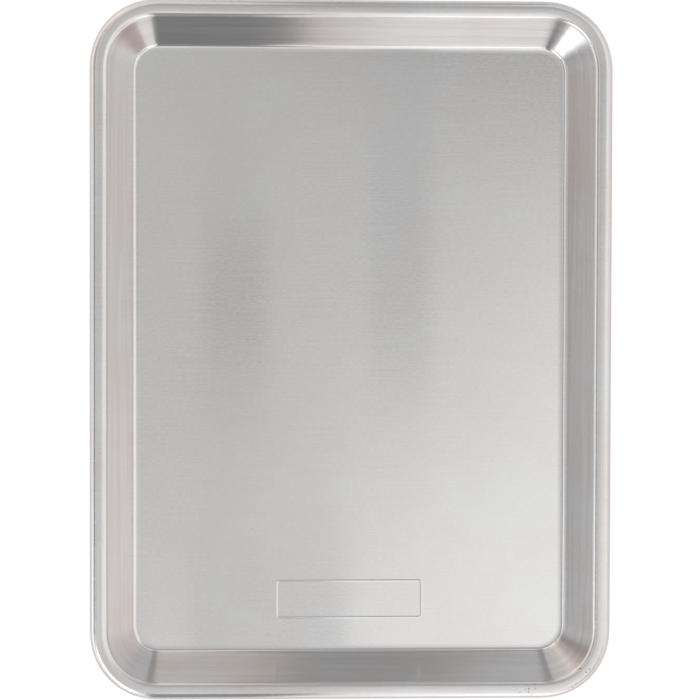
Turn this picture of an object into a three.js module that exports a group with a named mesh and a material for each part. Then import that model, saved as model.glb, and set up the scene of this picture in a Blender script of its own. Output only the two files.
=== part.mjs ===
// Rimmed baking sheet of quarter size: a shallow tray drawn from one aluminium sheet,
// whose edge is flanged outwards and curled round a stiffening wire of galvanised steel.
// Millimetres, +Z up. The origin is the middle of the underside, with the short sides along X
// and the long sides along Y. The front, with the embossed frame, is at -Y.
import * as THREE from "three";

// Driving dimensions of the tray
const OUTER_WIDTH = 245; // along X, over the rolled rim
const OUTER_LENGTH = 328; // along Y, over the rolled rim
const INSIDE_DEPTH = 25.4; // from the floor up to the top of the rim
const FLOOR_CORNER = 10.8; // in plan, from where a corner of the flat floor starts to turn to its apex
const CORNER_FULLNESS = 2.5; // exponent of the corner's superellipse, where 2 is a quarter circle
const SHEET = 1.0; // thickness of the aluminium
const FOOT_RADIUS = 30; // of the floor's edge, which eases up before the fillet
const FOOT_ANGLE = 6; // degrees up from the floor, where the fillet starts
const FLOOR_FILLET = 2.2; // inside radius between floor and wall
const WALL_ANGLE = 65; // degrees up from the floor
const SHOULDER_RADIUS = 3.4; // upper radius between wall and flange
const FLANGE_RADIUS = 15; // of the slightly crowned flange
const FLANGE_ANGLE = 10; // degrees up from level, where the flange starts

// Driving dimensions of the rolled edge and the wire in it
const WIRE_DIAMETER = 4.5;
const WIRE_CLEARANCE = 0.3; // all round, between the wire and the curl
const WIRE_BUTT_GAP = 1.5; // between the two ends of the wire, at the middle of the back
const CURL_SEAM = 0.8; // from the sheet's edge up to the level of the flange's underside at its crown

// Driving dimensions of the bare frame that is embossed in the floor
const FRAME_WIDTH = 71; // along X, over the raised line
const FRAME_LENGTH = 19; // along Y, over the raised line
const FRAME_CORNER_RADIUS = 2.2; // of the raised line's outer edge
const FRAME_LINE = 1.4; // width of the raised line
const FRAME_RELIEF = 0.2; // how far the line stands up
const FRAME_SETBACK = 11; // from the flat floor's front edge to the frame

// How finely the round stretches are divided
const CORNER_STEPS = 8;
const SLOW_BEND_STEPS = 2;
const BEND_STEPS = 6;
const CURL_STEPS = 20;
const WIRE_SIDES = 16;
const FRAME_CORNER_STEPS = 3;
const FRAME_LINE_STEPS = 4;

// Sizes that follow from the driving ones
const radians = THREE.MathUtils.degToRad;
const wallAngle = radians(WALL_ANGLE);
const curlRadius = WIRE_DIAMETER / 2 + WIRE_CLEARANCE + SHEET;
const curlTurn = 2 * Math.PI - Math.acos(1 - (SHEET + CURL_SEAM) / curlRadius);

/**
 * The bends of the sheet from the floor's edge outwards, each up to a heading in radians above level.
 * A bend with a negative radius is crowned, and the others are hollow. The straight wall lies between
 * the fillet and the shoulder.
 */
const BENDS = [
  { name: "foot", radius: FOOT_RADIUS, heading: radians(FOOT_ANGLE), steps: SLOW_BEND_STEPS },
  { name: "fillet", radius: FLOOR_FILLET, heading: wallAngle, steps: BEND_STEPS },
  { name: "shoulder", radius: -SHOULDER_RADIUS, heading: radians(FLANGE_ANGLE), steps: BEND_STEPS },
  { name: "flange", radius: -FLANGE_RADIUS, heading: 0, steps: SLOW_BEND_STEPS },
  { name: "curl", radius: -curlRadius, heading: -curlTurn, steps: CURL_STEPS },
];

/** From a bend's centre to a point on it, where the sheet has the given heading. */
function spoke(radius, heading) {
  return new THREE.Vector2(Math.sin(heading), -Math.cos(heading)).multiplyScalar(radius);
}

/** The bends with their centres, in a section whose x runs outwards from the floor's edge and y upwards. */
function placedBends() {
  const starts = BENDS.map((_, i) => (i ? BENDS[i - 1].heading : 0));
  const rises = BENDS.map(({ radius, heading }, i) => radius * (Math.cos(starts[i]) - Math.cos(heading)));
  const bendRise = rises.slice(0, -1).reduce((sum, rise) => sum + rise, 0);
  const wallLength = (INSIDE_DEPTH - bendRise) / Math.sin(wallAngle);
  const wall = new THREE.Vector2(Math.cos(wallAngle), Math.sin(wallAngle)).multiplyScalar(wallLength);
  const point = new THREE.Vector2(0, SHEET);
  return BENDS.map((bend, i) => {
    const centre = point.clone().sub(spoke(bend.radius, starts[i]));
    point.copy(centre).add(spoke(bend.radius, bend.heading));
    if (bend.name === "fillet") point.add(wall);
    return { ...bend, start: starts[i], centre };
  });
}

const sectionBends = placedBends();
const curlCentre = sectionBends.at(-1).centre;
const reach = curlCentre.x + curlRadius; // from the flat floor's edge out to the rim's
const floorWidth = OUTER_WIDTH - 2 * reach;
const floorLength = OUTER_LENGTH - 2 * reach;

/** One face of the sheet in section, from the floor's edge to the end of the curl, depth below the upper one. */
function sheetFace(depth) {
  const [first] = sectionBends;
  const points = [first.centre.clone().add(spoke(first.radius + depth, first.start))];
  for (const { name, radius, heading, start, centre, steps } of sectionBends) {
    const firstStep = name === "shoulder" ? 0 : 1; // the straight wall ends where the shoulder starts
    for (let i = firstStep; i <= steps; i += 1) {
      const turned = start + ((heading - start) * i) / steps;
      points.push(centre.clone().add(spoke(radius + depth, turned)));
    }
  }
  return points;
}

/** A half-wave ridge across the embossed line, x across the line and y above the flat floor. */
function ridge() {
  return Array.from({ length: FRAME_LINE_STEPS + 1 }, (_, i) => {
    const across = i / FRAME_LINE_STEPS;
    return new THREE.Vector2(
      (0.5 - across) * FRAME_LINE,
      (FRAME_RELIEF / 2) * (1 - Math.cos(2 * Math.PI * across)),
    );
  });
}

/**
 * Stations anticlockwise round a rectangle with round corners, from the +X end of the back right
 * corner. Each has a point of the outline and the direction that leads straight out of it. A corner
 * is a quarter of a superellipse, stepped by equal turns of that direction.
 */
function stations(width, length, corner, fullness, steps, centreY = 0) {
  const corners = [[1, 1], [-1, 1], [-1, -1], [1, -1]];
  const bulge = (share) => Math.abs(share) ** (1 / (fullness - 1));
  return corners.flatMap(([signX, signY], quarter) =>
    Array.from({ length: steps + 1 }, (_, i) => {
      const angle = ((quarter + i / steps) * Math.PI) / 2;
      const out = new THREE.Vector2(Math.cos(angle), Math.sin(angle));
      const [x, y] = [bulge(out.x), bulge(out.y)];
      const size = corner / (x ** fullness + y ** fullness) ** (1 / fullness);
      const point = new THREE.Vector2(
        signX * (width / 2 - corner + size * x),
        signY * (length / 2 - corner + size * y) + centreY,
      );
      return { point, out };
    }),
  );
}

/** A closed surface put together from rings of points, strips between them and flat fills. */
class Surface {
  positions = [];
  triangles = [];

  /** One ring: a section point carried round the stations. */
  ring(path, { x, y }) {
    return path.map(({ point, out }) => {
      this.positions.push(point.x + x * out.x, point.y + x * out.y, y);
      return this.positions.length / 3 - 1;
    });
  }

  /** Rings for each point of a section, and the strips between neighbouring rings. */
  sweep(path, section) {
    const rings = section.map((point) => this.ring(path, point));
    rings.slice(1).forEach((ring, i) => this.strip(rings[i], ring));
    return rings;
  }

  /** A closed strip between two rings, which faces up where the second ring lies outside the first. */
  strip(inner, outer) {
    inner.forEach((a, i) => {
      const next = (i + 1) % inner.length;
      this.triangles.push(a, outer[i], outer[next], a, outer[next], inner[next]);
    });
  }

  /** A rod with flat ends: a closed section, anticlockwise, carried along an open run of stations. */
  rod(path, section) {
    const lines = section.map((point) => this.ring(path, point));
    const cuts = path.map((_, i) => lines.map((line) => line[i]));
    cuts.slice(1).forEach((cut, i) => this.strip(cuts[i], cut));
    const end = ([first, ...rest]) =>
      rest.slice(1).forEach((c, i) => this.triangles.push(first, rest[i], c));
    end(cuts[0]);
    end(cuts.at(-1).toReversed());
  }

  /** A flat face inside a ring, with an optional hole, which faces up or down. */
  fill(ring, hole, facesUp) {
    const flat = (indices) =>
      indices.map((i) => new THREE.Vector2(this.positions[3 * i], this.positions[3 * i + 1]));
    const holes = hole ? [[...hole].reverse()] : [];
    const all = [...ring, ...holes.flat()];
    for (const face of THREE.ShapeUtils.triangulateShape(flat(ring), holes.map(flat))) {
      const [a, b, c] = face.map((i) => all[i]);
      this.triangles.push(...(facesUp ? [a, b, c] : [a, c, b]));
    }
  }

  geometry() {
    const made = new THREE.BufferGeometry();
    made.setAttribute("position", new THREE.Float32BufferAttribute(this.positions, 3));
    made.setIndex(this.triangles);
    made.computeVertexNormals();
    return made;
  }
}

const floorOutline = stations(floorWidth, floorLength, FLOOR_CORNER, CORNER_FULLNESS, CORNER_STEPS);

/** The tray: one sheet of even thickness, embossed, drawn, flanged and curled. */
function panShell() {
  const frameOutline = stations(
    FRAME_WIDTH - FRAME_LINE,
    FRAME_LENGTH - FRAME_LINE,
    FRAME_CORNER_RADIUS - FRAME_LINE / 2,
    2,
    FRAME_CORNER_STEPS,
    -floorLength / 2 + FRAME_SETBACK + FRAME_LENGTH / 2,
  );
  const made = new Surface();
  // Up over the inside and round the curl's outside, then back along the other face.
  const section = [...sheetFace(0), ...sheetFace(SHEET).reverse()];
  const rings = made.sweep(floorOutline, section);
  const faces = [
    { edge: rings[0], level: SHEET, facesUp: true },
    { edge: rings.at(-1), level: 0, facesUp: false },
  ];
  for (const { edge, level, facesUp } of faces) {
    const line = ridge().map(({ x, y }) => new THREE.Vector2(x, y + level));
    const inwards = facesUp ? [...line].reverse() : line;
    const lineRings = made.sweep(frameOutline, inwards);
    const [inner, outer] = facesUp ? [lineRings[0], lineRings.at(-1)] : [lineRings.at(-1), lineRings[0]];
    made.fill(edge, outer, facesUp);
    made.fill(inner, null, facesUp);
  }
  return made.geometry();
}

/** The stiffening wire: one bent rod, whose ends butt together at the middle of the back. */
function rimWire() {
  const back = new THREE.Vector2(0, 1);
  const end = (x) => ({ point: new THREE.Vector2(x, floorLength / 2), out: back });
  const perCorner = CORNER_STEPS + 1;
  const path = [
    end(-WIRE_BUTT_GAP / 2),
    ...floorOutline.slice(perCorner),
    ...floorOutline.slice(0, perCorner),
    end(WIRE_BUTT_GAP / 2),
  ];
  const round = new THREE.EllipseCurve(curlCentre.x, curlCentre.y, WIRE_DIAMETER / 2, WIRE_DIAMETER / 2);
  const section = round.getPoints(WIRE_SIDES).slice(1);
  const made = new Surface();
  made.rod(path, section);
  return made.geometry();
}

const satinAluminium = new THREE.MeshStandardMaterial({ color: 0xd4d3d1, roughness: 0.32, metalness: 1 });
const galvanisedSteel = new THREE.MeshStandardMaterial({ color: 0xa9adb0, roughness: 0.5, metalness: 1 });

/** One named piece of the tray. */
function piece(name, geometry, material) {
  const mesh = new THREE.Mesh(geometry, material);
  mesh.name = name;
  return mesh;
}

const bakingSheet = new THREE.Group();
bakingSheet.name = "baking_sheet";
bakingSheet.add(
  piece("pan_shell", panShell(), satinAluminium),
  piece("rim_wire", rimWire(), galvanisedSteel),
);

export default bakingSheet;
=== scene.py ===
"""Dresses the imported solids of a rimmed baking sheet: a shallow tray pressed from one aluminium sheet,
whose edge is rolled round a steel wire, on a white table under soft studio light.

Metres, +Z up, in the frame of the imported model: the short sides run along X, the long ones along Y,
and the end with the embossed frame is at -Y.
"""

import math
from typing import NamedTuple

import bpy
from bpy.props import FloatProperty, FloatVectorProperty, IntProperty, PointerProperty
from mathutils import Matrix, Vector


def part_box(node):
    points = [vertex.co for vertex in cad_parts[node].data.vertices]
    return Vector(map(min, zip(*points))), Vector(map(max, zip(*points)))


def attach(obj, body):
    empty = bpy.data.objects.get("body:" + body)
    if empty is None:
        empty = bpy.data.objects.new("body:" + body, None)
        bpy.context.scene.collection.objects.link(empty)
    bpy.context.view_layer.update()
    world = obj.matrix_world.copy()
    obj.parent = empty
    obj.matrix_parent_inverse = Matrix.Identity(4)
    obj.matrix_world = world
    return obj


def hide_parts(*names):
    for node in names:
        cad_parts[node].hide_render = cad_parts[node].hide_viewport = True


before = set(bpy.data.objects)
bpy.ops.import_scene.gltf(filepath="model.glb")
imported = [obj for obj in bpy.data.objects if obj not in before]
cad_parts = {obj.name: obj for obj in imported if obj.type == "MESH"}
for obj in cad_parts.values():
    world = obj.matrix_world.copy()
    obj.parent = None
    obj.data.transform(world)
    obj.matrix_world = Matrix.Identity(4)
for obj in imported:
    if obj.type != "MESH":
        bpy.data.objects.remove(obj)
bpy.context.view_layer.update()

bl_info = {
    "name": "Rimmed baking sheet",
    "version": (1, 0, 0),
    "blender": (4, 5, 0),
    "location": "3D View > Sidebar > Baking sheet",
    "description": "Makes a wired-edge aluminium baking sheet, its finishes and a studio round it",
    "category": "Object",
}

MM = 0.001
BODY = "root"
SHELL_LOW, SHELL_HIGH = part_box("pan_shell")
WIRE_LOW, WIRE_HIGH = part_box("rim_wire")
FLAT_MAP = "Flat sheet"  # UV map, in metres of the sheet before it was pressed
DRAWN = "drawn"  # attribute: 0 on the floor and the sides, 1 in the middle of a corner
SAME_POINT = 0.001 * MM  # points of the section that are closer than this are one
WELD = 0.05 * MM  # and so are points of the tray's mesh
CUT_ANGLE = math.radians(40)  # an edge that turns further than this is a cut one, and stays sharp


def linear(hex_colour):
    """An sRGB hex value such as #D9D8D6 as scene-linear red, green and blue."""
    channels = [int(hex_colour[i : i + 2], 16) / 255 for i in (1, 3, 5)]
    return tuple(c / 12.92 if c <= 0.04045 else ((c + 0.055) / 1.055) ** 2.4 for c in channels)


def size(name, description, default):
    """A property for a length in metres."""
    return FloatProperty(name=name, description=description, default=default, min=0, precision=5,
                         subtype="DISTANCE", unit="LENGTH")


def angle(name, description, degrees):
    """A property for an angle."""
    return FloatProperty(name=name, description=description, default=math.radians(degrees), min=0,
                         subtype="ANGLE", unit="ROTATION")


def divisions(name, description, default, least):
    """A property for how finely a round is divided."""
    return IntProperty(name=name, description=description, default=default, min=least)


def colour(name, description, hex_colour):
    """A property for a colour, given as an sRGB hex value."""
    return FloatVectorProperty(name=name, description=description, default=linear(hex_colour),
                               min=0, max=1, size=3, subtype="COLOR")


class TraySizes(bpy.types.PropertyGroup):
    """The pressed tray. Its outside follows the frame."""

    width: size("Width", "Over the rolled rim, along X", SHELL_HIGH.x - SHELL_LOW.x)
    length: size("Length", "Over the rolled rim, along Y", SHELL_HIGH.y - SHELL_LOW.y)
    height: size("Height", "From the underside to the top of the rim", SHELL_HIGH.z - SHELL_LOW.z)
    sheet: size("Sheet", "Thickness of the aluminium", 1.0 * MM)
    floor_corner: size("Floor corner", "How far a corner of the flat floor reaches along a side", 10.8 * MM)
    fullness: FloatProperty(
        name="Corner fullness", description="Exponent of a corner's superellipse", default=2.5, min=2)
    foot: size("Foot", "Radius of the floor's edge, which eases up before the fillet", 30 * MM)
    foot_angle: angle("Foot angle", "Where the fillet starts, up from the floor", 3.5)
    fillet: size("Fillet", "Inside radius between floor and wall", 2.2 * MM)
    wall_angle: angle("Wall angle", "Of the walls, up from the floor", 65)
    shoulder: size("Shoulder", "Upper radius between wall and flange", 3.1 * MM)
    flange: size("Flange", "Radius of the slightly crowned flange", 28 * MM)
    flange_angle: angle("Flange angle", "Where the flange starts, up from level", 5)
    seam: size("Seam", "From the sheet's edge up to the flange's underside at its crown", 0.8 * MM)
    corner_steps: divisions("Corner steps", "Divisions of a round corner", 32, 4)
    bend_steps: divisions("Bend steps", "Divisions of a bend in section", 16, 4)
    curl_steps: divisions("Curl steps", "Divisions of the rolled edge", 56, 8)


class FrameSizes(bpy.types.PropertyGroup):
    """The bare frame that is embossed in the floor."""

    width: size("Width", "Over the raised line, along X", 71 * MM)
    length: size("Length", "Over the raised line, along Y", 19 * MM)
    corner: size("Corner", "Radius of the raised line's outer edge", 2.2 * MM)
    line: size("Line", "Width of the raised line", 1.4 * MM)
    relief: size("Relief", "How far the line stands up", 0.1 * MM)
    setback: size("Setback", "From the flat floor's front edge to the frame", 12.2 * MM)
    steps: divisions("Steps", "Divisions of a corner and of the line", 12, 4)


class WireSizes(bpy.types.PropertyGroup):
    """The stiffening wire in the rolled edge. It follows the frame."""

    diameter: size("Diameter", "Of the wire", WIRE_HIGH.z - WIRE_LOW.z)
    inset: size("Inset", "From the tray's outer edge to the wire", SHELL_HIGH.x - WIRE_HIGH.x)
    butt_gap: size("Butt gap", "Between the wire's two ends, at the middle of the back", 1.5 * MM)
    sides: divisions("Sides", "Divisions round the wire", 24, 8)


class Finishes(bpy.types.PropertyGroup):
    """Colours of the metals and of the table."""

    aluminium: colour("Aluminium", "Bare sheet, seen straight on", "#DDDDDD")
    tarnish: colour("Tarnish", "Faint warm cast in the thin oxide", "#DDD9D7")
    scuff: colour("Scuff", "Grime in the nicks of the rim", "#6B6764")
    zinc: colour("Zinc", "Galvanised wire", "#A9ADB0")
    spangle: colour("Spangle", "Paler grains in the zinc", "#BDC0C2")
    table: colour("Table", "White table top", "#F4F4F2")


class BakingSheet(bpy.types.PropertyGroup):
    """All that a user would change."""

    tray: PointerProperty(type=TraySizes)
    emboss: PointerProperty(type=FrameSizes)
    wire: PointerProperty(type=WireSizes)
    finish: PointerProperty(type=Finishes)


def add(tree, kind, inputs=None, **settings):
    """A new node: settings are its own properties, inputs are values or sockets of other nodes."""
    node = tree.nodes.new(kind)
    for name, value in settings.items():
        setattr(node, name, value)
    for name, value in (inputs or {}).items():
        if isinstance(value, bpy.types.NodeSocket):
            tree.links.new(value, node.inputs[name])
        else:
            node.inputs[name].default_value = value
    return node


# The sheet in section and in plan


class Bend(NamedTuple):
    """A bend of the sheet in section, between two headings above level.
    A crowned one has a negative radius."""

    centre: Vector
    radius: float
    start: float
    heading: float
    steps: int


def spoke(radius, heading):
    """From a bend's centre to a point on it, where the sheet has the given heading."""
    return radius * Vector((math.sin(heading), -math.cos(heading)))


class Section:
    """The tray's sheet in section: x runs outwards from the flat floor's edge, y upwards."""

    def __init__(self, tray, wire):
        self.tray = tray
        self.curl_radius = wire.diameter / 2 + wire.inset
        curl = 2 * math.pi - math.acos(1 - (tray.sheet + tray.seam) / self.curl_radius)
        hollows = (
            (tray.foot, tray.foot_angle, tray.bend_steps),
            (tray.fillet, tray.wall_angle, tray.bend_steps),
        )
        crowns = (
            (-tray.shoulder, tray.flange_angle, tray.bend_steps),
            (-tray.flange, 0.0, tray.bend_steps),
        )
        rolled_edge = (-self.curl_radius, -curl, tray.curl_steps)
        rise = start = 0.0
        for radius, heading, _ in hollows + crowns:
            rise += radius * (math.cos(start) - math.cos(heading))
            start = heading
        wall = (tray.height - tray.sheet - rise) / math.sin(tray.wall_angle)

        self.bends = []
        point, start = Vector((0, tray.sheet)), 0.0
        for radius, heading, steps in (*hollows, *crowns, rolled_edge):
            if len(self.bends) == len(hollows):
                point += wall * Vector((math.cos(tray.wall_angle), math.sin(tray.wall_angle)))
            centre = point - spoke(radius, start)
            self.bends.append(Bend(centre, radius, start, heading, steps))
            point, start = centre + spoke(radius, heading), heading
        self.curl_centre = self.bends[-1].centre
        self.reach = self.curl_centre.x + self.curl_radius
        self.floor = Vector((tray.width, tray.length)) - 2 * Vector((self.reach, self.reach))

    def face(self, depth):
        """One face of the sheet from the floor's edge to the end of the curl, depth below the upper one."""
        points = []
        for bend in self.bends:
            for i in range(bend.steps + 1):
                turn = bend.start + (bend.heading - bend.start) * i / bend.steps
                point = bend.centre + spoke(bend.radius + depth, turn)
                if not points or (point - points[-1]).length > SAME_POINT:
                    points.append(point)
        return points

    def outline(self):
        """The flat floor's edge, anticlockwise from the back end of its right side: points, each with
        the direction that leads straight out. A corner is a quarter of a superellipse, stepped by
        equal turns."""
        tray, half = self.tray, self.floor / 2
        points, outwards = [], []
        for quarter, (x, y) in enumerate(((1, 1), (-1, 1), (-1, -1), (1, -1))):
            for i in range(tray.corner_steps + 1):
                turn = (quarter + i / tray.corner_steps) * math.pi / 2
                out = Vector((math.cos(turn), math.sin(turn)))
                bulge = Vector([abs(share) ** (1 / (tray.fullness - 1)) for share in out])
                bulge *= tray.floor_corner / sum(b**tray.fullness for b in bulge) ** (1 / tray.fullness)
                reach = half - Vector((tray.floor_corner, tray.floor_corner)) + bulge
                points.append(Vector((x * reach.x, y * reach.y)))
                outwards.append(out)
        return points, outwards

    def mesh(self):
        """Two lines of edges. The first is the section, with how much further out each point lies in
        the flat sheet. A sweep lays a section's y axis downwards, so heights are negative here. The
        second is the floor's outline, with the way out."""
        section, spread = [], []
        for depth in (0, self.tray.sheet):
            face = self.face(depth)
            run = [0.0]
            for a, b in zip(face, face[1:]):
                run.append(run[-1] + (b - a).length)
            gains = [along - point.x for along, point in zip(run, face)]
            section += face if depth == 0 else face[::-1]
            spread += gains if depth == 0 else gains[::-1]
        outline, outwards = self.outline()
        count, total = len(section), len(section) + len(outline)
        edges = [(i, i + 1) for i in range(total - 1) if i != count - 1] + [(total - 1, count)]
        made = bpy.data.meshes.new("section and outline")
        made.from_pydata([(p.x, -p.y, 0) for p in section] + [(p.x, p.y, 0) for p in outline], edges, [])

        spread += [0.0] * len(outline)
        on_outline = [i >= count for i in range(total)]
        ways = [0.0] * (3 * count) + [c for out in outwards for c in (*out, 0.0)]
        made.attributes.new("spread", "FLOAT", "POINT").data.foreach_set("value", spread)
        made.attributes.new("outline", "BOOLEAN", "POINT").data.foreach_set("value", on_outline)
        made.attributes.new("outward", "FLOAT_VECTOR", "POINT").data.foreach_set("vector", ways)
        return made


# Geometry trees


def new_tree(name, inputs):
    """A geometry tree with named inputs, and the node that gives them."""
    tree = bpy.data.node_groups.new(name, "GeometryNodeTree")
    for label, kind in inputs.items():
        tree.interface.new_socket(label, in_out="INPUT", socket_type=kind)
    tree.interface.new_socket("Geometry", in_out="OUTPUT", socket_type="NodeSocketGeometry")
    return tree, add(tree, "NodeGroupInput").outputs


def end_tree(tree, geometry, material):
    """The last nodes of a tree: sharp edges where the metal is cut, plain geometry and its material."""
    turn = add(tree, "GeometryNodeInputMeshEdgeAngle")
    cut = add(tree, "FunctionNodeCompare", {"A": turn.outputs["Unsigned Angle"], "B": CUT_ANGLE},
              data_type="FLOAT", operation="GREATER_THAN")
    smooth = add(tree, "GeometryNodeSetShadeSmooth", {"Geometry": geometry, "Shade Smooth": True})
    sharp = add(tree, "GeometryNodeSetShadeSmooth",
                {"Geometry": smooth.outputs[0], "Selection": cut.outputs[0], "Shade Smooth": False},
                domain="EDGE")
    plain = add(tree, "GeometryNodeRealizeInstances", {"Geometry": sharp.outputs[0]})
    dressed = add(tree, "GeometryNodeSetMaterial", {"Geometry": plain.outputs[0], "Material": material})
    add(tree, "NodeGroupOutput", {"Geometry": dressed.outputs[0]})
    return tree


def tray_tree():
    """Sweeps the section round the floor's outline, and fills the floor on both faces of the sheet,
    with a frame's raised line embossed in it."""
    tree, given = new_tree("Pressed tray", {
        "Section and outline": "NodeSocketGeometry",
        "Sheet": "NodeSocketFloat",
        "Frame width": "NodeSocketFloat",
        "Frame length": "NodeSocketFloat",
        "Frame corner": "NodeSocketFloat",
        "Frame line": "NodeSocketFloat",
        "Frame relief": "NodeSocketFloat",
        "Frame centre": "NodeSocketVector",
        "Frame steps": "NodeSocketInt",
        "Material": "NodeSocketMaterial",
    })

    # Walls, rim and curl
    marked = add(tree, "GeometryNodeInputNamedAttribute", {"Name": "outline"}, data_type="BOOLEAN")
    lines = add(tree, "GeometryNodeSeparateGeometry",
                {"Geometry": given["Section and outline"], "Selection": marked.outputs[0]}, domain="POINT")
    bare = add(tree, "GeometryNodeRemoveAttribute",
               {"Geometry": lines.outputs["Selection"], "Name": "spread"})
    around = add(tree, "GeometryNodeMeshToCurve", {"Mesh": bare.outputs[0]})
    level = add(tree, "GeometryNodeSetCurveNormal", {"Curve": around.outputs[0]}, mode="Z_UP")
    floor_outline = level.outputs[0]
    section = add(tree, "GeometryNodeMeshToCurve", {"Mesh": lines.outputs["Inverted"]})
    walls = add(tree, "GeometryNodeCurveToMesh",
                {"Curve": floor_outline, "Profile Curve": section.outputs[0]})

    # The frame's outlines: a rectangle with round corners, drawn in by a share of the raised line's width
    outer = add(tree, "ShaderNodeCombineXYZ",
                {"X": given["Frame width"], "Y": given["Frame length"], "Z": given["Frame corner"]})
    outlines = []
    for share in (0.0, 0.5, 1.0):
        margin = add(tree, "ShaderNodeMath", {0: given["Frame line"], 1: share}, operation="MULTIPLY")
        inner = add(tree, "ShaderNodeVectorMath",
                    {0: margin.outputs[0], 1: (-2, -2, -1), 2: outer.outputs[0]}, operation="MULTIPLY_ADD")
        sizes = add(tree, "ShaderNodeSeparateXYZ", {"Vector": inner.outputs[0]}).outputs
        box = add(tree, "GeometryNodeCurvePrimitiveQuadrilateral",
                  {"Width": sizes["X"], "Height": sizes["Y"]})
        rounded = add(tree, "GeometryNodeFilletCurve",
                      {"Curve": box.outputs[0], "Radius": sizes["Z"], "Count": given["Frame steps"]},
                      mode="POLY")
        level = add(tree, "GeometryNodeSetCurveNormal", {"Curve": rounded.outputs[0]}, mode="Z_UP")
        placed = add(tree, "GeometryNodeTransform",
                     {"Geometry": level.outputs[0], "Translation": given["Frame centre"]})
        outlines.append(placed.outputs[0])
    outer_edge, middle, inner_edge = outlines

    # The raised line: a whole wave across, from foot to foot, swept round the middle of the line.
    # A sweep lays a profile's y axis downwards, so the crest is negative here.
    ridge = add(tree, "GeometryNodeMeshLine",
                {"Count": given["Frame steps"], "Start Location": (-0.5, 0, 0), "Offset": (0.5, 0, 0)},
                mode="END_POINTS")
    position = add(tree, "GeometryNodeInputPosition").outputs[0]
    across = add(tree, "ShaderNodeSeparateXYZ", {"Vector": position}).outputs["X"]
    turn = add(tree, "ShaderNodeMath", {0: across, 1: 2 * math.pi}, operation="MULTIPLY")
    wave = add(tree, "ShaderNodeMath", {0: turn.outputs[0]}, operation="COSINE")
    swell = add(tree, "ShaderNodeMath", {0: wave.outputs[0], 1: -0.5, 2: -0.5}, operation="MULTIPLY_ADD")
    crest = add(tree, "ShaderNodeMath",
                {0: swell.outputs[0], 1: given["Frame relief"]}, operation="MULTIPLY")
    wide = add(tree, "ShaderNodeMath", {0: across, 1: given["Frame line"]}, operation="MULTIPLY")
    shape = add(tree, "ShaderNodeCombineXYZ", {"X": wide.outputs[0], "Y": crest.outputs[0]})
    raised = add(tree, "GeometryNodeSetPosition",
                 {"Geometry": ridge.outputs[0], "Position": shape.outputs[0]})
    profile = add(tree, "GeometryNodeMeshToCurve", {"Mesh": raised.outputs[0]})
    line = add(tree, "GeometryNodeCurveToMesh", {"Curve": middle, "Profile Curve": profile.outputs[0]})

    # The flat floor round and inside the line
    borders = add(tree, "GeometryNodeJoinGeometry", {0: floor_outline})
    tree.links.new(outer_edge, borders.inputs[0])
    tree.links.new(inner_edge, borders.inputs[0])
    flat = add(tree, "GeometryNodeFillCurve", {"Curve": borders.outputs[0]}, mode="TRIANGLES")

    # Both faces of the sheet: the lower one is the upper one's underside
    face = add(tree, "GeometryNodeJoinGeometry", {0: flat.outputs[0]})
    tree.links.new(line.outputs[0], face.inputs[0])
    thickness = add(tree, "ShaderNodeCombineXYZ", {"Z": given["Sheet"]})
    upper = add(tree, "GeometryNodeTransform",
                {"Geometry": face.outputs[0], "Translation": thickness.outputs[0]})
    lower = add(tree, "GeometryNodeFlipFaces", {"Mesh": face.outputs[0]})
    whole = add(tree, "GeometryNodeJoinGeometry", {0: walls.outputs[0]})
    tree.links.new(upper.outputs[0], whole.inputs[0])
    tree.links.new(lower.outputs[0], whole.inputs[0])
    closed = add(tree, "GeometryNodeMergeByDistance", {"Geometry": whole.outputs[0], "Distance": WELD})

    # Where each point lay in the flat sheet
    spread = add(tree, "GeometryNodeInputNamedAttribute", {"Name": "spread"}, data_type="FLOAT")
    outward = add(tree, "GeometryNodeInputNamedAttribute", {"Name": "outward"}, data_type="FLOAT_VECTOR")
    shift = add(tree, "ShaderNodeVectorMath",
                {0: outward.outputs[0], "Scale": spread.outputs[0]}, operation="SCALE")
    unrolled = add(tree, "ShaderNodeVectorMath", {0: position, 1: shift.outputs[0]}, operation="ADD")
    mapped = add(tree, "GeometryNodeStoreNamedAttribute",
                 {"Geometry": closed.outputs[0], "Name": FLAT_MAP, "Value": unrolled.outputs[0]},
                 data_type="FLOAT2", domain="CORNER")

    # How far the metal was drawn round a corner: twice the product of the way out's two shares
    ways = add(tree, "ShaderNodeSeparateXYZ", {"Vector": outward.outputs[0]}).outputs
    product = add(tree, "ShaderNodeMath", {0: ways["X"], 1: ways["Y"]}, operation="MULTIPLY")
    positive = add(tree, "ShaderNodeMath", {0: product.outputs[0]}, operation="ABSOLUTE")
    double = add(tree, "ShaderNodeMath", {0: positive.outputs[0], 1: 2}, operation="MULTIPLY")
    drawn = add(tree, "GeometryNodeStoreNamedAttribute",
                {"Geometry": mapped.outputs[0], "Name": DRAWN, "Value": double.outputs[0]},
                data_type="FLOAT", domain="POINT")
    cleared = drawn.outputs[0]
    for name in ("spread", "outward", "outline"):
        cleared = add(tree, "GeometryNodeRemoveAttribute", {"Geometry": cleared, "Name": name}).outputs[0]
    return end_tree(tree, cleared, given["Material"])


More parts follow.
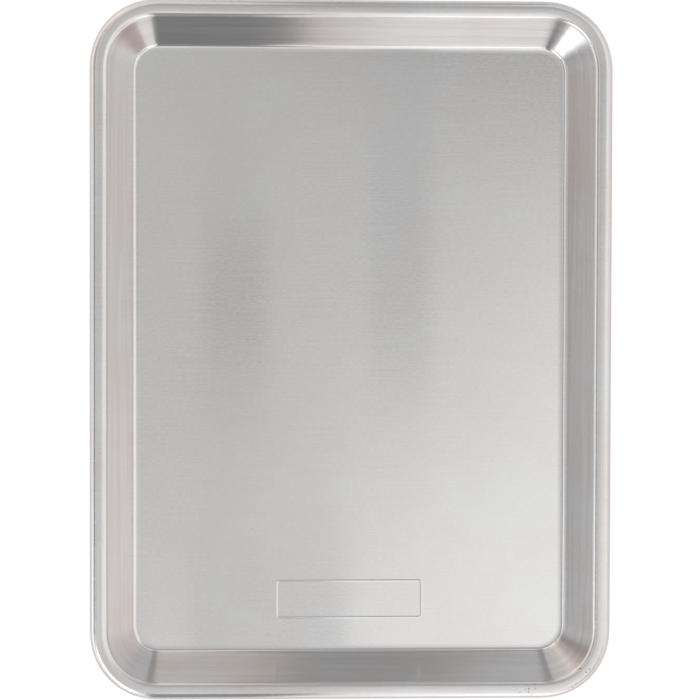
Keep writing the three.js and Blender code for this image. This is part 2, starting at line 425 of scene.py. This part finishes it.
def wire_tree():
    """A round rod with flat ends along a line."""
    tree, given = new_tree("Rim wire", {
        "Line": "NodeSocketGeometry",
        "Diameter": "NodeSocketFloat",
        "Sides": "NodeSocketInt",
        "Material": "NodeSocketMaterial",
    })
    radius = add(tree, "ShaderNodeMath", {0: given["Diameter"], 1: 0.5}, operation="MULTIPLY")
    circle = add(tree, "GeometryNodeCurvePrimitiveCircle",
                 {"Resolution": given["Sides"], "Radius": radius.outputs[0]})
    line = add(tree, "GeometryNodeMeshToCurve", {"Mesh": given["Line"]})
    level = add(tree, "GeometryNodeSetCurveNormal", {"Curve": line.outputs[0]}, mode="Z_UP")
    rod = add(tree, "GeometryNodeCurveToMesh",
              {"Curve": level.outputs[0], "Profile Curve": circle.outputs[0], "Fill Caps": True})
    return end_tree(tree, rod.outputs[0], given["Material"])


def grow(name, base, tree, values):
    """A piece as a plain mesh, from a base mesh and a geometry tree whose named inputs take the values."""
    piece = bpy.data.objects.new(name, base)
    bpy.context.scene.collection.objects.link(piece)
    modifier = piece.modifiers.new(tree.name, "NODES")
    modifier.node_group = tree
    for socket in tree.interface.items_tree:
        if socket.in_out == "INPUT" and socket.name in values:
            modifier[socket.identifier] = values[socket.name]
    normals = piece.modifiers.new("Normals of the larger faces", "WEIGHTED_NORMAL")
    normals.keep_sharp = True
    graph = bpy.context.evaluated_depsgraph_get()
    mesh = bpy.data.meshes.new_from_object(
        piece.evaluated_get(graph), preserve_all_data_layers=True, depsgraph=graph)
    if not mesh.polygons:
        raise RuntimeError(f"{tree.name} made no faces")
    piece.modifiers.clear()
    piece.data = mesh
    mesh.name = name
    bpy.data.meshes.remove(base)
    return piece


# Finishes


NOISE_SPAN = {"From Min": 0.3, "From Max": 0.7}  # most of a noise's values lie in between
MIX_A, MIX_B, MIXED = 6, 7, 2  # a Mix node's sockets for colours


def new_material(name):
    """A material with an empty node tree."""
    material = bpy.data.materials.new(name)
    material.use_nodes = True
    material.node_tree.nodes.clear()
    return material


def rolled_lines(tree, flat):
    """The fine lines that the rolls leave along X, short ones and long ones together."""
    lengths = (2 * MM, 30 * MM)
    width = 0.6 * MM  # real ones are near 0.05 mm: drawn as coarse as they need to show
    long_share = 0.35
    scores = []
    for length in lengths:
        along = add(tree, "ShaderNodeMapping", {"Vector": flat, "Scale": (1 / length, 1 / width, 1)},
                    vector_type="POINT")
        scores.append(add(tree, "ShaderNodeTexNoise", {"Vector": along.outputs[0], "Scale": 1, "Detail": 1},
                          noise_dimensions="2D").outputs[0])
    return add(tree, "ShaderNodeMix", {"Factor": long_share, "A": scores[0], "B": scores[1]}).outputs[0]


def rim_nicks(tree, place, height, tray):
    """Nicks where trays knock together: 1 in small ragged pits on the rim beside one corner,
    and 0 elsewhere."""
    spacing = 1.8 * MM
    largest = 0.4 * MM
    raggedness = 1.2 * largest
    cells_with_nicks = {"From Min": 0.4, "From Max": 0.9}  # of cell values from 0 to 1
    knocked_edge = (0.4 * tray.width, -0.485 * tray.length, tray.height)
    reach = 20 * MM
    rim_bottom = tray.height - 1.5 * tray.sheet

    ragged = add(tree, "ShaderNodeTexNoise", {"Vector": place, "Scale": 1 / largest, "Detail": 2})
    warped = add(tree, "ShaderNodeVectorMath",
                 {0: ragged.outputs["Color"], 1: (raggedness,) * 3, 2: place}, operation="MULTIPLY_ADD")
    cells = add(tree, "ShaderNodeTexVoronoi", {"Vector": warped.outputs[0], "Scale": 1 / spacing})
    radius = add(tree, "ShaderNodeMapRange", {**cells_with_nicks, "Value": cells.outputs["Color"],
                                              "To Min": 0.0, "To Max": largest / spacing})
    inside = add(tree, "ShaderNodeMath",
                 {0: cells.outputs["Distance"], 1: radius.outputs[0]}, operation="LESS_THAN")
    away = add(tree, "ShaderNodeVectorMath", {0: place, 1: knocked_edge}, operation="DISTANCE")
    near = add(tree, "ShaderNodeMath", {0: away.outputs["Value"], 1: reach}, operation="LESS_THAN")
    on_rim = add(tree, "ShaderNodeMath", {0: height, 1: rim_bottom}, operation="GREATER_THAN")
    there = add(tree, "ShaderNodeMath", {0: near.outputs[0], 1: on_rim.outputs[0]}, operation="MULTIPLY")
    return add(tree, "ShaderNodeMath", {0: inside.outputs[0], 1: there.outputs[0]},
               operation="MULTIPLY").outputs[0]


def rolled_aluminium(finish, tray):
    """Aluminium sheet in its mill finish: the rolls leave fine lines along X, which blur a reflection
    across them, and the draw of the press leaves the walls and corners duller than the floor."""
    cloud_size = 55 * MM
    cloud_cast = {"From Min": 0.35, "From Max": 0.65}
    streak_length = 90 * MM
    streak_width = 3 * MM
    pucker_length = 25 * MM
    pucker_width = 3 * MM
    line_shades = {"To Min": 0.945, "To Max": 1.005}
    streak_shades = {"To Min": 0.92, "To Max": 1.05}
    floor_roughness = 0.12
    wall_roughness = 0.18
    corner_roughness = 0.24
    line_roughness = {"To Min": -0.015, "To Max": 0.015}
    cloud_roughness = {"To Min": -0.008, "To Max": 0.008}
    line_depth = 0.0008 * MM
    streak_depth = 0.01 * MM
    pucker_depth = 0.03 * MM
    nick_depth = 0.1 * MM
    wall_rise = {"From Min": 1.2 * tray.sheet, "From Max": tray.sheet + tray.fillet}

    material = new_material("Aluminium, rolled and pressed")
    tree = material.node_tree
    flat = add(tree, "ShaderNodeUVMap", uv_map=FLAT_MAP).outputs["UV"]
    place = add(tree, "ShaderNodeTexCoord").outputs["Object"]
    height = add(tree, "ShaderNodeSeparateXYZ", {"Vector": place}).outputs["Z"]
    pressed = add(tree, "ShaderNodeMapRange", {**wall_rise, "Value": height},
                  interpolation_type="SMOOTHSTEP").outputs[0]
    drawn = add(tree, "ShaderNodeAttribute", attribute_name=DRAWN).outputs["Fac"]

    # Patterns: lines and clouds in the flat sheet, streaks along the walls, puckers down the corners, nicks
    lines = rolled_lines(tree, flat)
    clouds = add(tree, "ShaderNodeTexNoise",
                 {"Vector": flat, "Scale": 1 / cloud_size, "Detail": 4, "Roughness": 0.65},
                 noise_dimensions="2D").outputs[0]
    level = add(tree, "ShaderNodeMapping",
                {"Vector": place, "Scale": (1 / streak_length, 1 / streak_length, 1 / streak_width)},
                vector_type="POINT")
    streaks = add(tree, "ShaderNodeTexNoise",
                  {"Vector": level.outputs[0], "Scale": 1, "Detail": 4, "Roughness": 0.6}).outputs[0]
    upright = add(tree, "ShaderNodeMapping",
                  {"Vector": place, "Scale": (1 / pucker_width, 1 / pucker_width, 1 / pucker_length)},
                  vector_type="POINT")
    puckers = add(tree, "ShaderNodeTexNoise", {"Vector": upright.outputs[0], "Scale": 1, "Detail": 2})
    nicks = rim_nicks(tree, place, height, tray)

    # Colour: a faint warm cast in clouds, lines and streaks a little lighter and darker, grime in the nicks
    cast = add(tree, "ShaderNodeMapRange", {**cloud_cast, "Value": clouds})
    metal = add(tree, "ShaderNodeMix",
                {"Factor": cast.outputs[0], MIX_A: (*finish.aluminium, 1), MIX_B: (*finish.tarnish, 1)},
                data_type="RGBA")
    shade = add(tree, "ShaderNodeMapRange", {**NOISE_SPAN, **line_shades, "Value": lines})
    lined = add(tree, "ShaderNodeMix",
                {"Factor": 1.0, MIX_A: metal.outputs[MIXED], MIX_B: shade.outputs[0]},
                data_type="RGBA", blend_type="MULTIPLY")
    dulled = add(tree, "ShaderNodeMapRange", {**NOISE_SPAN, **streak_shades, "Value": streaks})
    streaked = add(tree, "ShaderNodeMix",
                   {"Factor": pressed, MIX_A: lined.outputs[MIXED], MIX_B: dulled.outputs[0]},
                   data_type="RGBA", blend_type="MULTIPLY")
    worn = add(tree, "ShaderNodeMix",
               {"Factor": nicks, MIX_A: streaked.outputs[MIXED], MIX_B: (*finish.scuff, 1)},
               data_type="RGBA")

    # Roughness: satin floor, duller walls and corners, and a little of the lines and clouds
    sides = add(tree, "ShaderNodeMix", {"Factor": drawn, "A": wall_roughness, "B": corner_roughness})
    base = add(tree, "ShaderNodeMix", {"Factor": pressed, "A": floor_roughness, "B": sides.outputs[0]})
    grain = add(tree, "ShaderNodeMapRange", {**NOISE_SPAN, **line_roughness, "Value": lines})
    haze = add(tree, "ShaderNodeMapRange", {**NOISE_SPAN, **cloud_roughness, "Value": clouds})
    grained = add(tree, "ShaderNodeMath", {0: base.outputs[0], 1: grain.outputs[0]}, operation="ADD")
    rough = add(tree, "ShaderNodeMath", {0: grained.outputs[0], 1: haze.outputs[0]}, operation="ADD")

    # Relief: the rolled lines, streaks on the walls, slight puckers down the corners, and the nicks' pits
    scored = add(tree, "ShaderNodeBump", {"Height": lines, "Distance": line_depth})
    dragged = add(tree, "ShaderNodeBump", {"Strength": pressed, "Height": streaks,
                                           "Distance": streak_depth, "Normal": scored.outputs[0]})
    strained = add(tree, "ShaderNodeMath", {0: drawn, 1: pressed}, operation="MULTIPLY")
    puckered = add(tree, "ShaderNodeBump", {"Strength": strained.outputs[0], "Height": puckers.outputs[0],
                                            "Distance": pucker_depth, "Normal": dragged.outputs[0]})
    pitted = add(tree, "ShaderNodeBump", {"Height": nicks, "Distance": nick_depth,
                                          "Normal": puckered.outputs[0]}, invert=True)

    # The blur lies across the lines, a quarter of a turn from the sheet's X
    tangent = add(tree, "ShaderNodeTangent", direction_type="UV_MAP", uv_map=FLAT_MAP)
    shader = add(tree, "ShaderNodeBsdfPrincipled", {
        "Base Color": worn.outputs[MIXED], "Metallic": 1.0, "Roughness": rough.outputs[0],
        "Anisotropic": 0.95, "Anisotropic Rotation": 0.25,
        "Normal": pitted.outputs[0], "Tangent": tangent.outputs[0]})
    add(tree, "ShaderNodeOutputMaterial", {"Surface": shader.outputs[0]})
    return material


def galvanised_steel(finish):
    """Steel wire dipped in zinc, which sets in flat grains of slightly different greys."""
    grain_size = 2.5 * MM
    bloom_size = 4 * grain_size
    bloom_roughness = {"To Min": 0.38, "To Max": 0.55}
    bloom_depth = 0.03 * MM

    material = new_material("Steel wire, galvanised")
    tree = material.node_tree
    place = add(tree, "ShaderNodeTexCoord").outputs["Object"]
    grains = add(tree, "ShaderNodeTexVoronoi", {"Vector": place, "Scale": 1 / grain_size})
    bloom = add(tree, "ShaderNodeTexNoise",
                {"Vector": place, "Scale": 1 / bloom_size, "Detail": 3}).outputs[0]
    mottle = add(tree, "ShaderNodeMix",
                 {"Factor": grains.outputs["Color"], MIX_A: (*finish.zinc, 1), MIX_B: (*finish.spangle, 1)},
                 data_type="RGBA")
    rough = add(tree, "ShaderNodeMapRange", {**NOISE_SPAN, **bloom_roughness, "Value": bloom})
    relief = add(tree, "ShaderNodeBump", {"Height": bloom, "Distance": bloom_depth})
    shader = add(tree, "ShaderNodeBsdfPrincipled", {
        "Base Color": mottle.outputs[MIXED], "Metallic": 1.0, "Roughness": rough.outputs[0],
        "Normal": relief.outputs[0]})
    add(tree, "ShaderNodeOutputMaterial", {"Surface": shader.outputs[0]})
    return material


# The studio


class Board(NamedTuple):
    """A flat board that faces the tray: a lamp's soft front, or a flag that keeps light away.
    Brightness 1 shows as white in a mirror."""

    name: str
    place: tuple
    size: tuple
    colour: str
    brightness: float


LAMPS = (
    Board("Lamp, front left", (-0.65, -0.76, 0.73), (0.6, 0.36), "#F8FAFF", 3.6),
    Board("Lamp, low left", (-0.85, -0.4, 0.22), (0.5, 0.3), "#F8FAFF", 0.6),
    Board("Reflector, right", (1.2, -0.55, 0.92), (0.8, 0.8), "#FFEEEB", 0.25),
    Board("Reflector, front right", (0.45, -1.4, 0.75), (0.66, 1.1), "#FFFDFD", 0.36),
    Board("Reflector, low front", (0.35, -1.1, 0.3), (1.0, 0.4), "#FFFFFF", 0.4),
    Board("Reflector, back right", (0.5, 0.75, 0.5), (0.75, 0.6), "#F4F8FF", 0.4),
    Board("Reflector, back left", (-0.38, 0.85, 0.42), (0.74, 0.8), "#FFF4E8", 0.46),
    Board("Reflector, left of the back", (-0.8, 0.6, 0.45), (0.75, 0.8), "#FFD0A2", 0.28),
)
FLAGS = (
    Board("Flag, front left", (-0.1, -0.8, 0.52), (0.2, 1.0), "#FBFCFF", 0.34),
    Board("Flag, left", (-1.36, 0.0, 1.36), (3.0, 0.7), "#FFFFFF", 0.32),
    Board("Flag, back of the left", (-2.8, 0.95, 1.75), (0.7, 1.2), "#FFFFFF", 0.25),
    Board("Flag, front right", (0.88, -0.92, 0.9), (0.8, 0.9), "#FFE7E4", 0.77),
    Board("Flag, over the back", (0.2, 0.65, 1.6), (1.0, 0.8), "#FFFFFF", 0.48),
    Board("Flag, over the front", (-0.02, -0.42, 1.6), (0.18, 0.2), "#FFFFFF", 0.74),
    Board("Camera", (-0.056, 0.01, 1.25), (0.06, 0.12), "#FFFFFF", 0.5),
    Board("Camera arm", (0.105, 0.05, 1.25), (0.06, 0.26), "#FFFFFF", 0.62),
)
OVERHEAD = 0.3  # a flag closer to the middle than this hangs over the tray, with its height along Y
ROOM = {
    "right": ("#FFF9F8", 0.48),
    "left": ("#FDFDFF", 1.1),
    "back": ("#FCFDFF", 0.48),
    "front": ("#FFFAFA", 0.48),
    "ceiling": ("#FFFEFD", 0.68),
    "floor": ("#FFFFFF", 0.9),
}
GLOW_TOWARDS = (0.7, -0.714, 0.0)  # the room's brighter half, to the right and front
GLOW_EDGE = {"From Min": 0.02, "From Max": 0.19}  # it comes up between these shares of that direction
GLOW = 0.5
TABLE_HALF = 3.0
TABLE_DROP = 0.2 * MM  # from the tray's underside to the table
CAMERA_OVER = (-54 * MM, 36 * MM)  # the camera stands over this point of the tray
CAMERA_HEIGHT = 1.2
CAMERA_ROLL = math.radians(0.15)
CAMERA_AIM = (-0.9 * MM, 0.5 * MM)  # and looks at this one, at the height of the rim
VIEW_WIDTH = 327.7 * MM  # across the picture there


def square(half_width, half_length, height=0.0):
    """The corners of a level rectangle round the origin, anticlockwise from above."""
    signs = ((-1, -1), (1, -1), (1, 1), (-1, 1))
    return [(x * half_width, y * half_length, height) for x, y in signs]


def white_table(finish):
    """Matt white board, which shows as white and still takes the tray's shadow."""
    shadow_share = 0.1  # of what the camera sees
    mirrored_share = 0.85  # and of what the metal mirrors
    whiteness = 1.05

    material = new_material("Board, matt white")
    tree = material.node_tree
    path = add(tree, "ShaderNodeLightPath").outputs
    mirrored = add(tree, "ShaderNodeMath", {0: path["Is Glossy Ray"], 1: path["Is Transmission Ray"]},
                   operation="MAXIMUM")
    part = add(tree, "ShaderNodeMath", {0: mirrored.outputs[0], 1: 1 - mirrored_share},
               operation="MULTIPLY")
    share = add(tree, "ShaderNodeMath", {0: path["Is Camera Ray"], 1: 1 - shadow_share, 2: part.outputs[0]},
                operation="MULTIPLY_ADD")
    board = add(tree, "ShaderNodeBsdfDiffuse", {"Color": (*finish.table, 1)})
    white = add(tree, "ShaderNodeEmission", {"Strength": whiteness})
    surface = add(tree, "ShaderNodeMixShader",
                  {0: share.outputs[0], 1: board.outputs[0], 2: white.outputs[0]})
    below = add(tree, "ShaderNodeNewGeometry").outputs["Backfacing"]
    clear = add(tree, "ShaderNodeBsdfTransparent")
    one_way = add(tree, "ShaderNodeMixShader", {0: below, 1: surface.outputs[0], 2: clear.outputs[0]})
    add(tree, "ShaderNodeOutputMaterial", {"Surface": one_way.outputs[0]})
    return material


def facing(place, target, up):
    """The matrix of a lamp or camera at a place that looks at a target, with up at the picture's top."""
    back = (Vector(place) - Vector(target)).normalized()
    side = Vector(up).cross(back).normalized()
    turn = Matrix((side, back.cross(side), back)).transposed()
    return Matrix.Translation(place) @ turn.to_4x4()


def room():
    """A studio room: six pale sides, which blend by the square of each direction's share, and a glow."""
    world = bpy.data.worlds.new("Studio room")
    world.use_nodes = True
    tree = world.node_tree
    tree.nodes.clear()
    aim = add(tree, "ShaderNodeTexCoord").outputs["Generated"]
    squares = add(tree, "ShaderNodeVectorMath", {0: aim, 1: aim}, operation="MULTIPLY").outputs[0]
    turned = add(tree, "ShaderNodeSeparateXYZ", {"Vector": aim})
    shares = add(tree, "ShaderNodeSeparateXYZ", {"Vector": squares})
    total = None
    for axis, pair in enumerate((("left", "right"), ("front", "back"), ("floor", "ceiling"))):
        ahead = add(tree, "ShaderNodeMath", {0: turned.outputs[axis], 1: 0.0}, operation="GREATER_THAN")
        low, high = ((*(c * ROOM[side][1] for c in linear(ROOM[side][0])), 1) for side in pair)
        wall = add(tree, "ShaderNodeMix", {"Factor": ahead.outputs[0], MIX_A: low, MIX_B: high},
                   data_type="RGBA")
        part = add(tree, "ShaderNodeVectorMath",
                   {0: wall.outputs[MIXED], "Scale": shares.outputs[axis]}, operation="SCALE")
        total = part if total is None else add(
            tree, "ShaderNodeVectorMath", {0: total.outputs[0], 1: part.outputs[0]}, operation="ADD")
    towards = add(tree, "ShaderNodeVectorMath", {0: aim, 1: GLOW_TOWARDS}, operation="DOT_PRODUCT")
    glow = add(tree, "ShaderNodeMapRange",
               {**GLOW_EDGE, "Value": towards.outputs["Value"], "To Min": 0.0, "To Max": GLOW},
               interpolation_type="SMOOTHSTEP")
    bright = add(tree, "ShaderNodeVectorMath", {0: total.outputs[0], 1: glow.outputs[0]}, operation="ADD")
    light = add(tree, "ShaderNodeBackground", {"Color": bright.outputs[0]})
    add(tree, "ShaderNodeOutputWorld", {"Surface": light.outputs[0]})
    return world


def lamp(board, target):
    """A lamp with a soft flat front."""
    light = bpy.data.lights.new(board.name, "AREA")
    light.shape = "RECTANGLE"
    light.size, light.size_y = board.size
    light.color = linear(board.colour)
    light.energy = board.brightness * math.pi * light.size * light.size_y
    made = bpy.data.objects.new(board.name, light)
    made.matrix_world = facing(board.place, target, (0, 0, 1))
    return made


def flag(board, target):
    """A matt board that shows in the metal as a dim shape."""
    material = new_material(board.name)
    tree = material.node_tree
    cloth = add(tree, "ShaderNodeEmission",
                {"Color": (*linear(board.colour), 1), "Strength": board.brightness})
    add(tree, "ShaderNodeOutputMaterial", {"Surface": cloth.outputs[0]})
    width, height = board.size
    mesh = bpy.data.meshes.new(board.name)
    mesh.from_pydata(square(width / 2, height / 2), [], [(0, 1, 2, 3)])
    mesh.materials.append(material)
    made = bpy.data.objects.new(board.name, mesh)
    upright = (0, 1, 0) if math.hypot(*board.place[:2]) < OVERHEAD else (0, 0, 1)
    made.matrix_world = facing(board.place, target, upright)
    return made


# Operators


class PressShell(bpy.types.Operator):
    """Press the tray with its walls, flange and rolled edge from one sheet"""

    bl_idname = "baking_sheet.press_shell"
    bl_label = "Press the shell"

    def execute(self, context):
        sizes = context.scene.baking_sheet
        tray, emboss = sizes.tray, sizes.emboss
        section = Section(tray, sizes.wire)
        front = -section.floor.y / 2 + emboss.setback + emboss.length / 2
        shell = grow("pan_shell_pressed", section.mesh(), tray_tree(), {
            "Sheet": tray.sheet,
            "Frame width": emboss.width,
            "Frame length": emboss.length,
            "Frame corner": emboss.corner,
            "Frame line": emboss.line,
            "Frame relief": emboss.relief,
            "Frame centre": (0.0, front, 0.0),
            "Frame steps": emboss.steps,
            "Material": rolled_aluminium(sizes.finish, tray),
        })
        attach(shell, BODY)
        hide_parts("pan_shell")
        return {"FINISHED"}


class BendWire(bpy.types.Operator):
    """Bend the stiffening wire that lies in the rolled edge"""

    bl_idname = "baking_sheet.bend_wire"
    bl_label = "Bend the wire"

    def execute(self, context):
        sizes = context.scene.baking_sheet
        tray, wire = sizes.tray, sizes.wire
        section = Section(tray, wire)
        out = section.curl_centre.x
        around = [point + out * way for point, way in zip(*section.outline())]
        corner = tray.corner_steps + 1
        back = section.floor.y / 2 + out
        points = [Vector((-wire.butt_gap / 2, back)), *around[corner:], *around[:corner]]
        points.append(Vector((wire.butt_gap / 2, back)))
        line = bpy.data.meshes.new("wire line")
        line.from_pydata([(p.x, p.y, section.curl_centre.y) for p in points],
                         [(i, i + 1) for i in range(len(points) - 1)], [])
        rod = grow("rim_wire_galvanised", line, wire_tree(), {
            "Diameter": wire.diameter,
            "Sides": wire.sides,
            "Material": galvanised_steel(sizes.finish),
        })
        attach(rod, BODY)
        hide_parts("rim_wire")
        return {"FINISHED"}


class SetStage(bpy.types.Operator):
    """Set up the table, the lamps, the room and the camera"""

    bl_idname = "baking_sheet.set_stage"
    bl_label = "Set the stage"

    def execute(self, context):
        scene = context.scene
        board = bpy.data.meshes.new("table")
        board.from_pydata(square(TABLE_HALF, TABLE_HALF, -TABLE_DROP), [], [(0, 1, 2, 3)])
        board.materials.append(white_table(scene.baking_sheet.finish))
        table = bpy.data.objects.new("table", board)
        scene.collection.objects.link(table)

        middle = Vector((0, 0, scene.baking_sheet.tray.height))
        flags = [flag(each, middle) for each in FLAGS]
        for made in [lamp(each, middle) for each in LAMPS] + flags:
            made.visible_camera = False
            scene.collection.objects.link(made)
        scene.world = room()

        lens = bpy.data.cameras.new("camera")
        place = Vector((*CAMERA_OVER, CAMERA_HEIGHT))
        aim = Vector((*CAMERA_AIM, middle.z))
        lens.angle = 2 * math.atan(VIEW_WIDTH / 2 / (place - aim).length)
        camera = bpy.data.objects.new("camera", lens)
        camera.matrix_world = facing(place, aim, (0, 1, 0)) @ Matrix.Rotation(CAMERA_ROLL, 4, "Z")
        scene.collection.objects.link(camera)
        scene.camera = camera
        scene.view_settings.view_transform = "Standard"
        return {"FINISHED"}


STEPS = (PressShell, BendWire, SetStage)


class BakingSheetPanel(bpy.types.Panel):
    """Sizes, colours and steps of the baking sheet"""

    bl_idname = "VIEW3D_PT_baking_sheet"
    bl_label = "Baking sheet"
    bl_space_type = "VIEW_3D"
    bl_region_type = "UI"
    bl_category = "Baking sheet"

    def draw(self, context):
        sizes = context.scene.baking_sheet
        for group in (sizes.tray, sizes.emboss, sizes.wire, sizes.finish):
            box = self.layout.box()
            for name in group.__annotations__:
                box.prop(group, name)
        for step in STEPS:
            self.layout.operator(step.bl_idname)


CLASSES = (TraySizes, FrameSizes, WireSizes, Finishes, BakingSheet, *STEPS, BakingSheetPanel)


def register():
    for each in CLASSES:
        bpy.utils.register_class(each)
    bpy.types.Scene.baking_sheet = PointerProperty(type=BakingSheet)


def unregister():
    del bpy.types.Scene.baking_sheet
    for each in reversed(CLASSES):
        bpy.utils.unregister_class(each)


def main():
    register()
    bpy.ops.baking_sheet.press_shell()
    bpy.ops.baking_sheet.bend_wire()
    bpy.ops.baking_sheet.set_stage()


if __name__ == "__main__":
    main()
